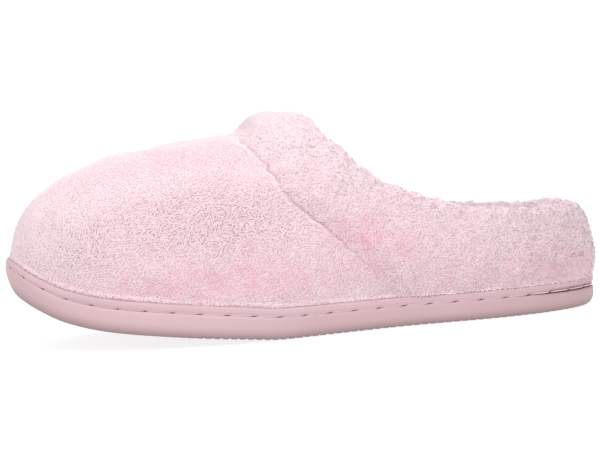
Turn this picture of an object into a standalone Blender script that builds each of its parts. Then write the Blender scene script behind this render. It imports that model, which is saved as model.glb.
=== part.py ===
"""A padded terry clog slipper for the left foot, on a ribbed rubber sole.

Metres. +X points to the toe, +Y to the outer side of the foot, +Z up. The sole stands on z = 0 and
x = 0 is the middle of its length. One closed loop of columns runs round the shoe, from the heel
along the outer side to the toe and back along the inner side, and every piece is lofted on it.
"""

import math
from collections import namedtuple

import bmesh
import bpy
import numpy as np
from mathutils import Matrix

# Driving sizes of the sole.
LENGTH = 0.262
TREAD_PITCH = 0.0036
TREAD_DEPTH = 0.0009
WELT_HEIGHT = 0.0035
WELT_WIDTH = 0.0105
STITCH_GROOVE = 0.0011
FIT_GAP = 0.0003

# Driving sizes of the upper and of the padded cuff sewn over its rear half.
UPPER_WALL = 0.0025
UPPER_SETBACK = 0.0008
CUFF_FOOT = 0.0022
CUFF_PADDING = 0.0036
CUFF_LINING = 0.0030
CUFF_TURN_DOWN = 0.016
SEAM_EDGE = 0.0008
SEAM_DIP = 0.005
SEAM_RUN = 0.012

# Driving sizes of the footbed.
FOOTBED_PAD = 0.0055
FOOTBED_ROUND = 0.0022

# Columns round the shoe (an even number) and rows up the upper's wall.
COLUMNS = 60
ROWS_BELOW_SEAM = 6
ROWS_ABOVE_SEAM = 5
CUFF_ROWS = 7
ROLL_STEPS = 6
LINING_ROWS = 4

# Each row is a place on the loop. x and y lie on the sole's edge, x from the back of the heel.
# rim_x, rim_y and rim_z give the shoulder of the collar above it, belly_out and belly_up how the
# wall leaves the sole, crest_out and crest_up how it arrives at the collar, and puff how far the
# cuff's padding stands above the line of the vamp.
Place = namedtuple(
    "Place",
    "name side x y rim_x rim_y rim_z belly_out belly_up crest_out crest_up puff",
)
PLACES = [
    Place("heel_back", 1, 0.000, 0.000, 0.0030, 0.000, 0.0426, 0.0030, 0.013, 0.0045, -0.010, 0.0006),
    Place("heel_outer", 1, 0.028, 0.031, 0.0300, 0.0285, 0.0428, 0.0040, 0.013, 0.0030, -0.012, 0.0008),
    Place("quarter_outer", 1, 0.060, 0.0372, 0.0610, 0.0340, 0.0457, 0.0045, 0.014, 0.0040, -0.012, 0.0010),
    Place("waist_outer", 1, 0.095, 0.037, 0.0930, 0.0330, 0.0548, 0.0055, 0.016, 0.0060, -0.012, 0.0016),
    Place("instep_outer", 1, 0.132, 0.0427, 0.1105, 0.0282, 0.0666, 0.0060, 0.024, 0.0160, -0.002, 0.0030),
    Place("ball_outer", 1, 0.170, 0.0485, 0.1238, 0.0207, 0.0752, 0.0060, 0.030, 0.0300, 0.004, 0.0050),
    Place("toe_outer", 1, 0.232, 0.0335, 0.1332, 0.0092, 0.0857, 0.0030, 0.032, 0.0815, 0.003, 0.0066),
    Place("toe_tip", 1, 0.262, -0.006, 0.1350, -0.0010, 0.0870, -0.0056, 0.026, 0.0920, 0.003, 0.0070),
    Place("toe_inner", -1, 0.236, -0.0425, 0.1332, -0.0110, 0.0857, 0.0030, 0.032, 0.0815, 0.003, 0.0066),
    Place("ball_inner", -1, 0.180, -0.050, 0.1238, -0.0225, 0.0752, 0.0050, 0.032, 0.0320, 0.004, 0.0050),
    Place("instep_inner", -1, 0.140, -0.0428, 0.1105, -0.0290, 0.0666, 0.0060, 0.026, 0.0160, -0.002, 0.0030),
    Place("waist_inner", -1, 0.100, -0.036, 0.0940, -0.0325, 0.0548, 0.0060, 0.018, 0.0060, -0.012, 0.0016),
    Place("quarter_inner", -1, 0.062, -0.0362, 0.0620, -0.0335, 0.0457, 0.0045, 0.014, 0.0040, -0.012, 0.0010),
    Place("heel_inner", -1, 0.030, -0.033, 0.0315, -0.0300, 0.0428, 0.0040, 0.013, 0.0030, -0.012, 0.0008),
]

# Lift of the sole's underside above the floor, and the height of its side, by distance from the heel.
SolePoint = namedtuple("SolePoint", "x lift side")
SOLE_LINE = [
    SolePoint(0.000, 0.0000, 0.0088),
    SolePoint(0.080, 0.0000, 0.0090),
    SolePoint(0.150, 0.0000, 0.0097),
    SolePoint(0.172, 0.0019, 0.0102),
    SolePoint(0.200, 0.0050, 0.0104),
    SolePoint(0.225, 0.0084, 0.0104),
    SolePoint(0.241, 0.0129, 0.0104),
    SolePoint(0.253, 0.0198, 0.0104),
    SolePoint(0.262, 0.0265, 0.0104),
]

# The seam between vamp and cuff as it shows from the side, x from the heel.
SeamPoint = namedtuple("SeamPoint", "x z")
SEAM_LINE = [
    SeamPoint(0.094, 0.0052),
    SeamPoint(0.127, 0.0419),
    SeamPoint(0.146, 0.0602),
    SeamPoint(0.1535, 0.0752),
    SeamPoint(0.158, 0.0852),
    SeamPoint(0.160, 0.0972),
]

# Rows of the sole's side wall: how far in from the edge, and at what share of the side's height.
WallRow = namedtuple("WallRow", "inset share")
SOLE_WALL = [
    WallRow(0.0042, 0.0),
    WallRow(0.0018, 0.13),
    WallRow(0.0005, 0.34),
    WallRow(0.0000, 0.60),
    WallRow(0.0000, 0.93),
]

PINK_TERRY = (0.905, 0.655, 0.715, 1.0)
PINK_LINING = (0.885, 0.640, 0.700, 1.0)
PINK_RUBBER = (0.700, 0.470, 0.505, 1.0)


def closed_spline(knots, values, where):
    """Smooth closed curve through values at the knots, which run once round 0 to 2 pi."""
    count = len(knots)
    step = np.diff(np.append(knots, knots[0] + 2 * math.pi))
    slope = (np.roll(values, -1, 0) - values) / step[:, None]
    matrix = np.zeros((count, count))
    for i in range(count):
        matrix[i, i - 1] += step[i - 1]
        matrix[i, i] += 2 * (step[i - 1] + step[i])
        matrix[i, (i + 1) % count] += step[i]
    bend = np.linalg.solve(matrix, 6 * (slope - np.roll(slope, 1, 0)))
    at = np.mod(where, 2 * math.pi)
    i = np.searchsorted(knots, at, side="right") - 1
    j = (i + 1) % count
    after = (at - knots[i])[:, None]
    span = step[i][:, None]
    before = span - after
    curve = (bend[i] * before**3 + bend[j] * after**3) / (6 * span)
    curve += (values[i] / span - bend[i] * span / 6) * before
    return curve + (values[j] / span - bend[j] * span / 6) * after


def eased(points, where):
    """Smooth curve without overshoot through rising points of (x, value)."""
    x, value = np.array(points, float).T
    slope = np.diff(value) / np.diff(x)
    tangent = np.zeros(len(x))
    tangent[0], tangent[-1] = slope[0], slope[-1]
    both = slope[:-1] * slope[1:]
    level = np.where(both > 0, slope[:-1] + slope[1:], 1.0)
    tangent[1:-1] = np.where(both > 0, 2 * both / level, 0.0)
    at = np.clip(where, x[0], x[-1])
    i = np.clip(np.searchsorted(x, at, side="right") - 1, 0, len(x) - 2)
    span = x[i + 1] - x[i]
    t = (at - x[i]) / span
    start = (1 + 2 * t) * (1 - t) ** 2 * value[i] + t * (1 - t) ** 2 * span * tangent[i]
    return start + t**2 * (3 - 2 * t) * value[i + 1] - t**2 * (1 - t) * span * tangent[i + 1]


def soft_step(share):
    share = np.clip(share, 0.0, 1.0)
    return share * share * (3 - 2 * share)


def unit(vectors):
    return vectors / np.linalg.norm(vectors, axis=-1, keepdims=True)


def sole_lift(x):
    return eased([(p.x - LENGTH / 2, p.lift) for p in SOLE_LINE], x)


def sole_side(x):
    return eased([(p.x - LENGTH / 2, p.side) for p in SOLE_LINE], x)


def seam_x(z):
    return eased([(p.z, p.x - LENGTH / 2) for p in SEAM_LINE], z)


def loop_angles():
    return np.arange(COLUMNS) * 2 * math.pi / COLUMNS


def on_loop(fields, angles):
    """Named columns of PLACES as smooth closed curves, read at the given loop angles."""
    knots = []
    for place in PLACES:
        angle = math.acos(1 - 2 * place.x / LENGTH)
        knots.append(angle if place.side > 0 else 2 * math.pi - angle)
    values = np.array([[getattr(p, f) for f in fields] for p in PLACES])
    return closed_spline(np.array(knots), values, angles)


def edge_point(angles):
    """The sole's edge in plan: columns that face each other share the same x."""
    x = -LENGTH / 2 * np.cos(angles)
    return np.stack([x, on_loop(["y"], angles)[:, 0]], 1)


def edge_outward(angles):
    """Level outward direction at the sole's edge."""
    small = 1e-3
    along = edge_point(angles + small) - edge_point(angles - small)
    return unit(np.stack([-along[:, 1], along[:, 0]], 1))


def sole_ring(inset, height):
    """A loop parallel to the sole's edge, at a height above the lifted underside."""
    angles = loop_angles()
    flat = edge_point(angles) - edge_outward(angles) * np.reshape(inset, (-1, 1))
    return np.column_stack([flat, sole_lift(flat[:, 0]) + height])


def form_lines(angles, shares):
    """The outside of the terry: one Bezier line per column, from the welt up to the collar."""
    edge, out = edge_point(angles), edge_outward(angles)
    foot = edge - out * UPPER_SETBACK
    base = sole_lift(edge[:, 0]) + sole_side(edge[:, 0]) + WELT_HEIGHT + 2 * FIT_GAP
    rim = on_loop(["rim_x", "rim_y", "rim_z"], angles) - [LENGTH / 2, 0, 0]
    belly = on_loop(["belly_out", "belly_up"], angles)
    crest = on_loop(["crest_out", "crest_up"], angles)
    toward = unit(foot - rim[:, :2])
    lower = np.column_stack([foot, base])
    pull_out = np.column_stack([foot + out * belly[:, :1], base + belly[:, 1]])
    pull_in = np.column_stack([rim[:, :2] + toward * crest[:, :1], rim[:, 2] + crest[:, 1]])
    t = np.asarray(shares)[..., None]
    line = (1 - t) ** 3 * lower[:, None] + 3 * t * (1 - t) ** 2 * pull_out[:, None]
    return line + 3 * t**2 * (1 - t) * pull_in[:, None] + t**3 * rim[:, None]


def form_directions(angles, shares):
    """Outward normals of the form, and the direction that climbs it, at each of its points."""
    small = 1e-3
    shares = np.clip(shares, small, 1 - small)
    climb = unit(form_lines(angles, shares + small) - form_lines(angles, shares - small))
    around = form_lines(angles + small, shares) - form_lines(angles - small, shares)
    return unit(np.cross(climb, around)), climb


def behind_seam(points):
    """Level distance behind the seam, negative on the vamp."""
    return seam_x(points[..., 2]) - points[..., 0]


def seam_shares(angles):
    """Where each column's line crosses the seam: 0 where the whole column lies behind it."""
    steps = np.linspace(0, 1, 401)
    behind = behind_seam(form_lines(angles, np.tile(steps, (len(angles), 1)))) > 0
    return np.where(behind[:, 0], 0.0, steps[np.argmax(behind, axis=1)])


def shares_below_rim(angles, distances):
    """Shares of the points that lie these distances down each column's line from the collar."""
    steps = np.linspace(1, 0, 201)
    line = form_lines(angles, np.tile(steps, (len(angles), 1)))
    pieces = np.linalg.norm(np.diff(line, axis=1), axis=2)
    travelled = np.pad(np.cumsum(pieces, axis=1), ((0, 0), (1, 0)))
    return np.array([np.interp(distances, row, steps) for row in travelled])


def cuff_depth(points, shares):
    """Depth under the form at which the padded cuff's inner face lies."""
    full = CUFF_FOOT + (CUFF_PADDING - CUFF_FOOT) * soft_step(shares / 0.5)
    return full * soft_step((behind_seam(points) + SEAM_DIP) / SEAM_RUN)


def cuff_rise(angles, points):
    """Height of the cuff's outside above the form, from its seam edge to its full padding."""
    puff = on_loop(["puff"], angles)
    return puff * soft_step(behind_seam(points) / SEAM_RUN)


def upper_rows(angles):
    """Shares of the rows up the upper's wall, gathered to the seam where it crosses a column."""
    seam = np.clip(seam_shares(angles), 0.3, 0.9)[:, None]
    below = np.linspace(0, 1, ROWS_BELOW_SEAM + 1)[None, :-1] * seam
    above = seam + np.linspace(0, 1, ROWS_ABOVE_SEAM + 1)[None, :] * (1 - seam)
    return np.concatenate([below, above], axis=1)


def loft(name, rings, colour, roughness, ends):
    """A closed mesh through rings of points. ends is "ladder", which spans the first and the last
    ring from side to side, or "joined", which leads the last ring back to the first."""
    bm = bmesh.new()
    rows = [[bm.verts.new(point) for point in ring] for ring in rings]
    pairs = list(zip(rows, rows[1:]))
    if ends == "joined":
        pairs.append((rows[-1], rows[0]))
    for low, high in pairs:
        for i in range(len(low)):
            j = (i + 1) % len(low)
            bm.faces.new((low[i], low[j], high[j]))
            bm.faces.new((low[i], high[j], high[i]))
    if ends == "ladder":
        for ring in (rows[0], rows[-1]):
            half = len(ring) // 2
            for i in range(half):
                rung = [ring[i], ring[i + 1], ring[-i - 1], ring[-i]]
                bm.faces.new(list(dict.fromkeys(rung)))
    bmesh.ops.recalc_face_normals(bm, faces=bm.faces)
    mesh = bpy.data.meshes.new(name)
    bm.to_mesh(mesh)
    bm.free()
    mesh.shade_smooth()
    mesh.set_sharp_from_angle(angle=math.radians(50))
    mesh.materials.append(finish(name, colour, roughness))
    piece = bpy.data.objects.new(name, mesh)
    return piece


def finish(name, colour, roughness):
    material = bpy.data.materials.new(name)
    material.use_nodes = True
    shader = material.node_tree.nodes["Principled BSDF"]
    shader.inputs["Base Color"].default_value = colour
    shader.inputs["Roughness"].default_value = roughness
    shader.inputs["Metallic"].default_value = 0.0
    return material


def as_cutter(piece):
    piece.hide_render = True
    piece.display_type = "WIRE"
    return piece


def cut_with(piece, cutter):
    cut = piece.modifiers.new(cutter.name, "BOOLEAN")
    cut.operation = "DIFFERENCE"
    cut.object = cutter


def tread_cutter():
    """Straight V grooves across the underside, each set to the sole's lift and slope there."""
    bm = bmesh.new()
    long_bar = 0.13
    small = 1e-4
    count = int(LENGTH / TREAD_PITCH)
    for i in range(count):
        x = (i + 0.5 - count / 2) * TREAD_PITCH
        slope = (sole_lift(x + small) - sole_lift(x - small)) / (2 * small)
        place = Matrix.Translation((x, 0, float(sole_lift(x))))
        turn = Matrix.Rotation(math.radians(45) - math.atan(float(slope)), 4, "Y")
        thick = TREAD_DEPTH * math.sqrt(2)
        size = Matrix.Diagonal((thick, long_bar, thick, 1.0))
        bmesh.ops.create_cube(bm, size=1.0, matrix=place @ turn @ size)
    mesh = bpy.data.meshes.new("tread_cutter")
    bm.to_mesh(mesh)
    bm.free()
    return as_cutter(bpy.data.objects.new("tread_cutter", mesh))


def outsole(grooves):
    """Moulded rubber sole: rounded foot, plain side, chamfered lip under the stitch groove."""
    side = sole_side(edge_point(loop_angles())[:, 0])
    rings = [sole_ring(row.inset, row.share * side) for row in SOLE_WALL]
    rings.append(sole_ring(STITCH_GROOVE, side))
    piece = loft("outsole", rings, PINK_RUBBER, 0.6, "ladder")
    cut_with(piece, grooves)
    return piece


def welt():
    """Rubber band on the sole's rim, with the other lip of the stitch groove under its face."""
    side = sole_side(edge_point(loop_angles())[:, 0]) + FIT_GAP
    lip = 0.0008
    top = side + WELT_HEIGHT
    rings = [
        sole_ring(WELT_WIDTH, side),
        sole_ring(STITCH_GROOVE, side),
        sole_ring(0.0, side + lip),
        sole_ring(0.0, top - lip),
        sole_ring(lip / 2, top),
        sole_ring(WELT_WIDTH, top),
    ]
    return loft("welt", rings, PINK_RUBBER, 0.6, "joined")


def wall_rings(grow):
    """The hollow wall of the upper as rings, stepped in under the cuff, with every face grown."""
    angles = loop_angles()
    shares = upper_rows(angles)
    form = form_lines(angles, shares)
    outward, climb = form_directions(angles, shares)
    depth = cuff_depth(form, shares)[..., None]
    outside = form - outward * (depth - grow)
    inside = form - outward * (depth + UPPER_WALL + grow)
    for face in (outside, inside):
        face[:, 0, 2] = form[:, 0, 2] - grow
        face[:, -1] += climb[:, -1] * grow
    rows = range(shares.shape[1])
    return [outside[:, k] for k in rows] + [inside[:, k] for k in reversed(rows)]


def upper():
    """Terry vamp and quarters in one hollow wall, stepped in under the cuff behind the seam."""
    return loft("upper", wall_rings(0.0), PINK_TERRY, 0.95, "joined")


def upper_clearance():
    """The upper's wall grown by the fitting gap: what is taken out of the cuff."""
    return as_cutter(loft("upper_clearance", wall_rings(FIT_GAP), PINK_TERRY, 0.95, "joined"))


def cuff(clearance):
    """Padded terry cuff from the seam back to the heel, rolled over the upper's top edge. Its inner
    faces first lie inside the upper's wall, and the wall's clearance is then cut out of it."""
    angles = loop_angles()
    seam = seam_shares(angles)[:, None]
    shares = seam + (1 - seam) * np.linspace(0, 1, CUFF_ROWS + 1)[None, :]
    form = form_lines(angles, shares)
    outward, climb = form_directions(angles, shares)
    depth = cuff_depth(form, shares)[..., None]
    rise = cuff_rise(angles, form)[..., None]
    outer = form + outward * np.maximum(rise, SEAM_EDGE - depth)
    under = form - outward * (depth + UPPER_WALL / 3)


    turned = shares_below_rim(angles, np.linspace(0, CUFF_TURN_DOWN, LINING_ROWS + 1))
    turned_form = form_lines(angles, turned)
    turned_out, _ = form_directions(angles, turned)
    wall_inside = cuff_depth(turned_form, turned)[..., None] + UPPER_WALL
    lining_face = wall_inside + FIT_GAP + CUFF_LINING
    lining = turned_form - turned_out * lining_face
    backing = turned_form - turned_out * (wall_inside - UPPER_WALL / 3)

    rim_out, rim_up = outward[:, -1], climb[:, -1]
    radius = (rise[:, -1] + lining_face[:, 0]) / 2
    centre = outer[:, -1] - rim_out * radius
    roll = []
    for k in range(1, ROLL_STEPS):
        turn = math.pi * k / ROLL_STEPS
        roll.append(centre + (rim_out * math.cos(turn) + rim_up * math.sin(turn)) * radius)
    backing[:, 0] -= rim_up * UPPER_WALL / 3
    under[:, -1] -= rim_up * UPPER_WALL / 3

    rings = [outer[:, k] for k in range(CUFF_ROWS + 1)] + roll
    rings += [lining[:, k] for k in range(LINING_ROWS + 1)]
    rings += [backing[:, k] for k in reversed(range(LINING_ROWS + 1))]
    rings += [under[:, k] for k in reversed(range(CUFF_ROWS + 1))]
    piece = loft("cuff", rings, PINK_TERRY, 0.95, "joined")
    cut_with(piece, clearance)
    return piece


def insole():
    """Padded footbed, laid on the sole inside the welt and filling the foot of the upper."""
    angles = loop_angles()
    edge = edge_point(angles)
    side = sole_side(edge[:, 0])
    start = form_lines(angles, np.zeros((COLUMNS, 1)))
    inside_wall = UPPER_SETBACK + cuff_depth(start, np.zeros((COLUMNS, 1)))[:, 0] + UPPER_WALL
    clear = inside_wall + 4 * FIT_GAP
    plug = np.maximum(WELT_WIDTH + 2 * FIT_GAP, clear)
    shelf = side + WELT_HEIGHT + 3 * FIT_GAP
    rings = [
        sole_ring(plug, side + FIT_GAP),
        sole_ring(plug, shelf),
        sole_ring(clear, shelf),
        sole_ring(clear, shelf + FOOTBED_PAD - FOOTBED_ROUND),
        sole_ring(clear + FOOTBED_ROUND, shelf + FOOTBED_PAD),
    ]
    return loft("insole", rings, PINK_LINING, 0.95, "ladder")


def main():
    for old in list(bpy.data.objects):
        bpy.data.objects.remove(old)
    parts = bpy.data.collections.new("slipper")
    cutters = bpy.data.collections.new("cutters")
    for collection in (parts, cutters):
        bpy.context.scene.collection.children.link(collection)
    grooves, clearance = tread_cutter(), upper_clearance()
    for cutter in (grooves, clearance):
        cutters.objects.link(cutter)
    for piece in (outsole(grooves), welt(), insole(), upper(), cuff(clearance)):
        parts.objects.link(piece)


main()
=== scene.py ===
"""Looks of a padded terry clog slipper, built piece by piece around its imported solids.

Metres. +X points to the toe, +Y to the outer side of the foot, +Z up, and the floor is at z = 0.
"""

import math
from collections import namedtuple

import bmesh
import bpy
import numpy as np
from mathutils import Matrix, Vector
from mathutils.kdtree import KDTree


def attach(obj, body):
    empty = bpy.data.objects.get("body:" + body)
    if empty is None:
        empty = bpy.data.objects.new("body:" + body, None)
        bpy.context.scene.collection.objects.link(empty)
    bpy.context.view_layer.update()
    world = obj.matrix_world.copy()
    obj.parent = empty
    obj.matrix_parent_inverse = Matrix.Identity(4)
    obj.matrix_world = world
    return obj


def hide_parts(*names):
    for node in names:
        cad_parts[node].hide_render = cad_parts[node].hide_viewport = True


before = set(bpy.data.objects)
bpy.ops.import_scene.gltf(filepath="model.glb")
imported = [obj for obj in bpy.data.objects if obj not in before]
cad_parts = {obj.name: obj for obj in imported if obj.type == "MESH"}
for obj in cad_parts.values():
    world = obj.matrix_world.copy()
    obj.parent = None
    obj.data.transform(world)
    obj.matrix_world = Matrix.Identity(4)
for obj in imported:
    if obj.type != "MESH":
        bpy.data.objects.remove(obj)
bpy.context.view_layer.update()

# Outsole. One block of foamed rubber, moulded whole and dyed pink right through. It curls up at the
# toe, its underside is ribbed for grip, and its top edge is the lower lip of the sewing groove.
SOLE_LENGTH = 0.262
SOLE_COLUMNS = 1680
FIT_GAP = 0.0003

# The ribs fade up the lowest part of the side, and are worn shallower towards the toe.
RIB_PITCH = 0.0036
RIB_DEPTH = 0.0007
RIB_SIDE_SHARE = 0.13
RIB_WORN = 0.7
RIB_WORN_FROM = 0.045
RIB_WORN_RUN = 0.030

# Rounding of the lower edge and the share of the side that it takes, along the foot and at the toe.
FOOT_ROUND = 0.0042
FOOT_SHARE = 0.6
TOE_ROUND = 0.0052
TOE_SHARE = 0.9
TOE_FROM = 0.100
TOE_RUN = 0.028
SIDE_SHARES = (0.0, 0.01, 0.03, 0.06, 0.10, 0.15, 0.22, 0.30, 0.40, 0.50, 0.62, 0.75, 0.88)

# The sewing groove: its depth, and how its lips are parted, drawn inward and slanted at the needle
# holes, where the sole gapes at the heel, and where the stitches are slack round the toe.
GROOVE_DEPTH = 0.0011
STITCH_PITCH = 0.0114
HOLE_LENGTH = 0.0020
HOLE_PART = 0.00003
HOLE_DRAW = 0.0008
HOLE_SLANT = 0.00022
HEEL_PART = 0.00075
HEEL_DRAW = 0.0006
HEEL_FROM = -0.078
HEEL_RUN = 0.036
SLACK_PART = 0.00009
SLACK_EASE = 0.75
SLACK_FROM = 0.050
SLACK_RUN = 0.040
SOLE_LIP = ((0.00010, 0.0004), (0.00034, 0.00003))

# Painted shade: darker along the lower edge where it nears the ground, and over the whole side towards
# the heel, where less light falls.
PAINTED_EDGE_SHADE = 0.85
PAINTED_EDGE_SHADE_SHARE = 0.5
PAINTED_EDGE_SHADE_FALL = 1.6
PAINTED_HEEL_SHADE = 0.2
PAINTED_HEEL_SHADE_RUN = 0.060

# Places round the sole's edge, x from the back of the heel. Side 1 is the outer side of the foot.
OutlinePoint = namedtuple("OutlinePoint", "place side x y")
OUTLINE = [
    OutlinePoint("heel_back", 1, 0.000, 0.000),
    OutlinePoint("heel_outer", 1, 0.028, 0.031),
    OutlinePoint("quarter_outer", 1, 0.060, 0.0372),
    OutlinePoint("waist_outer", 1, 0.095, 0.037),
    OutlinePoint("instep_outer", 1, 0.132, 0.0427),
    OutlinePoint("ball_outer", 1, 0.170, 0.0485),
    OutlinePoint("toe_outer", 1, 0.232, 0.0335),
    OutlinePoint("toe_tip", 1, 0.262, -0.006),
    OutlinePoint("toe_inner", -1, 0.236, -0.0425),
    OutlinePoint("ball_inner", -1, 0.180, -0.050),
    OutlinePoint("instep_inner", -1, 0.140, -0.0428),
    OutlinePoint("waist_inner", -1, 0.100, -0.036),
    OutlinePoint("quarter_inner", -1, 0.062, -0.0362),
    OutlinePoint("heel_inner", -1, 0.030, -0.033),
]

# Lift of the underside above the floor and height of the sole's side, x from the back of the heel.
SolePoint = namedtuple("SolePoint", "x lift side")
SOLE_LINE = [
    SolePoint(0.000, 0.0000, 0.0088),
    SolePoint(0.080, 0.0000, 0.0090),
    SolePoint(0.150, 0.0000, 0.0097),
    SolePoint(0.172, 0.0019, 0.0102),
    SolePoint(0.200, 0.0050, 0.0104),
    SolePoint(0.225, 0.0084, 0.0104),
    SolePoint(0.241, 0.0126, 0.0104),
    SolePoint(0.253, 0.0190, 0.0104),
    SolePoint(0.262, 0.0265, 0.0104),
]


def unit(vectors):
    return vectors / np.linalg.norm(vectors, axis=-1, keepdims=True)


def soft_step(share):
    share = np.clip(share, 0.0, 1.0)
    return share * share * (3 - 2 * share)


def closed_spline(knots, values, where):
    """Smooth closed curve through values at the knots, which run once round 0 to 2 pi."""
    count = len(knots)
    step = np.diff(np.append(knots, knots[0] + 2 * math.pi))
    slope = (np.roll(values, -1, 0) - values) / step[:, None]
    matrix = np.zeros((count, count))
    for i in range(count):
        matrix[i, i - 1] += step[i - 1]
        matrix[i, i] += 2 * (step[i - 1] + step[i])
        matrix[i, (i + 1) % count] += step[i]
    bend = np.linalg.solve(matrix, 6 * (slope - np.roll(slope, 1, 0)))
    at = np.mod(where, 2 * math.pi)
    i = np.searchsorted(knots, at, side="right") - 1
    j = (i + 1) % count
    after = (at - knots[i])[:, None]
    span = step[i][:, None]
    before = span - after
    curve = (bend[i] * before**3 + bend[j] * after**3) / (6 * span)
    curve += (values[i] / span - bend[i] * span / 6) * before
    return curve + (values[j] / span - bend[j] * span / 6) * after


def eased(points, where):
    """Smooth curve without overshoot through rising points of (x, value)."""
    x, value = np.array(points, float).T
    slope = np.diff(value) / np.diff(x)
    tangent = np.zeros(len(x))
    tangent[0], tangent[-1] = slope[0], slope[-1]
    both = slope[:-1] * slope[1:]
    level = np.where(both > 0, slope[:-1] + slope[1:], 1.0)
    tangent[1:-1] = np.where(both > 0, 2 * both / level, 0.0)
    at = np.clip(where, x[0], x[-1])
    i = np.clip(np.searchsorted(x, at, side="right") - 1, 0, len(x) - 2)
    span = x[i + 1] - x[i]
    t = (at - x[i]) / span
    start = (1 + 2 * t) * (1 - t) ** 2 * value[i] + t * (1 - t) ** 2 * span * tangent[i]
    return start + t**2 * (3 - 2 * t) * value[i + 1] - t**2 * (1 - t) * span * tangent[i + 1]


def on_loop(values, angles):
    """One row of values for each place in OUTLINE, as smooth closed curves over the loop angle."""
    knots = []
    for point in OUTLINE:
        angle = math.acos(1 - 2 * point.x / SOLE_LENGTH)
        knots.append(angle if point.side > 0 else 2 * math.pi - angle)
    return closed_spline(np.array(knots), np.array(values, float), angles)


def loop_angles(count):
    return np.arange(count) * 2 * math.pi / count


def sole_lift(x):
    return eased([(p.x - SOLE_LENGTH / 2, p.lift) for p in SOLE_LINE], x)


def sole_side(x):
    return eased([(p.x - SOLE_LENGTH / 2, p.side) for p in SOLE_LINE], x)


def edge_point(angles):
    """The sole's edge in plan: columns that face each other share the same x."""
    x = -SOLE_LENGTH / 2 * np.cos(angles)
    return np.stack([x, on_loop([[p.y] for p in OUTLINE], angles)[:, 0]], 1)


def edge_outward(angles):
    small = 1e-3
    along = edge_point(angles + small) - edge_point(angles - small)
    return unit(np.stack([-along[:, 1], along[:, 0]], 1))


def sole_ring(angles, inset, height):
    """A loop parallel to the sole's edge, at a height above the lifted underside."""
    flat = edge_point(angles) - edge_outward(angles) * np.reshape(inset, (-1, 1))
    return np.column_stack([flat, sole_lift(flat[:, 0]) + height])


def stitch_ends(angles):
    """Angles of the needle holes, evenly spaced along the edge, and how far on from the nearest hole
    each of the given angles is."""
    fine = np.linspace(0, 2 * math.pi, 4001)
    edge = edge_point(fine)
    run = np.append(0, np.cumsum(np.linalg.norm(np.diff(edge, axis=0), axis=1)))
    count = round(run[-1] / STITCH_PITCH)
    holes = np.interp(np.arange(count) * run[-1] / count, run, fine)
    share = np.interp(np.mod(angles, 2 * math.pi), fine, run) / run[-1] * count
    return holes, (share - np.round(share)) * run[-1] / count


def ribs(x):
    """How far the grooves of the tread are cut into the underside."""
    from_groove = np.abs(np.mod(x / RIB_PITCH, 1.0) - 0.5) * RIB_PITCH
    depth = RIB_DEPTH * (1 - RIB_WORN * soft_step((x - RIB_WORN_FROM) / RIB_WORN_RUN))
    return np.clip(depth - from_groove, 0.0, depth)


def ring_faces(rings, columns, joined):
    """Quads between rings of points that follow each other, and back to the first if joined."""
    low = np.arange(rings if joined else rings - 1)[:, None] * columns
    high = (low + columns) % (rings * columns)
    here = np.arange(columns)[None, :]
    after = (here + 1) % columns
    return np.stack([low + here, low + after, high + after, high + here], -1).reshape(-1, 4)


def ladder_faces(first, columns):
    """Faces that span a ring from side to side, between columns of the same x."""
    faces = []
    for i in range(columns // 2):
        rung = [i, i + 1, (columns - i - 1) % columns, (columns - i) % columns]
        faces.append([first + k for k in dict.fromkeys(rung)])
    return faces


def solid(name, points, faces, material, sharp_deg, shares=None):
    """A smooth closed mesh that rides on the slipper's one body. shares gives named values from 0 to
    1 for each of its points, which the material reads."""
    mesh = bpy.data.meshes.new(name)
    mesh.from_pydata(np.reshape(points, (-1, 3)).tolist(), [], [list(f) for f in faces])
    bm = bmesh.new()
    bm.from_mesh(mesh)
    bmesh.ops.recalc_face_normals(bm, faces=bm.faces)
    bm.to_mesh(mesh)
    bm.free()
    mesh.shade_smooth()
    mesh.set_sharp_from_angle(angle=math.radians(sharp_deg))
    for label, values in (shares or {}).items():
        layer = mesh.attributes.new(label, "FLOAT", "POINT")
        layer.data.foreach_set("value", np.ravel(values).astype(np.float32))
    mesh.materials.append(material)
    piece = bpy.data.objects.new(name, mesh)
    bpy.context.scene.collection.objects.link(piece)
    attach(piece, "root")
    return piece


def linear(code):
    """An sRGB hex colour as linear values."""
    parts = [int(code[i : i + 2], 16) / 255 for i in (1, 3, 5)]
    return [p / 12.92 if p <= 0.04045 else ((p + 0.055) / 1.055) ** 2.4 for p in parts] + [1.0]


def add_node(tree, kind, settings, links=()):
    """A node with its settings, which are sockets or properties, and with sockets fed by others."""
    made = tree.nodes.new(kind)
    for name, value in settings.items():
        if isinstance(name, int) or name in made.inputs:
            made.inputs[name].default_value = value
        else:
            setattr(made, name, value)
    for name, source in dict(links).items():
        tree.links.new(source, made.inputs[name])
    return made


def new_material(name, settings):
    """A material with its Principled shader set, and its node tree."""
    material = bpy.data.materials.new(name)
    material.use_nodes = True
    shader = material.node_tree.nodes["Principled BSDF"]
    for socket, value in settings.items():
        shader.inputs[socket].default_value = value
    return material, material.node_tree, shader


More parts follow.
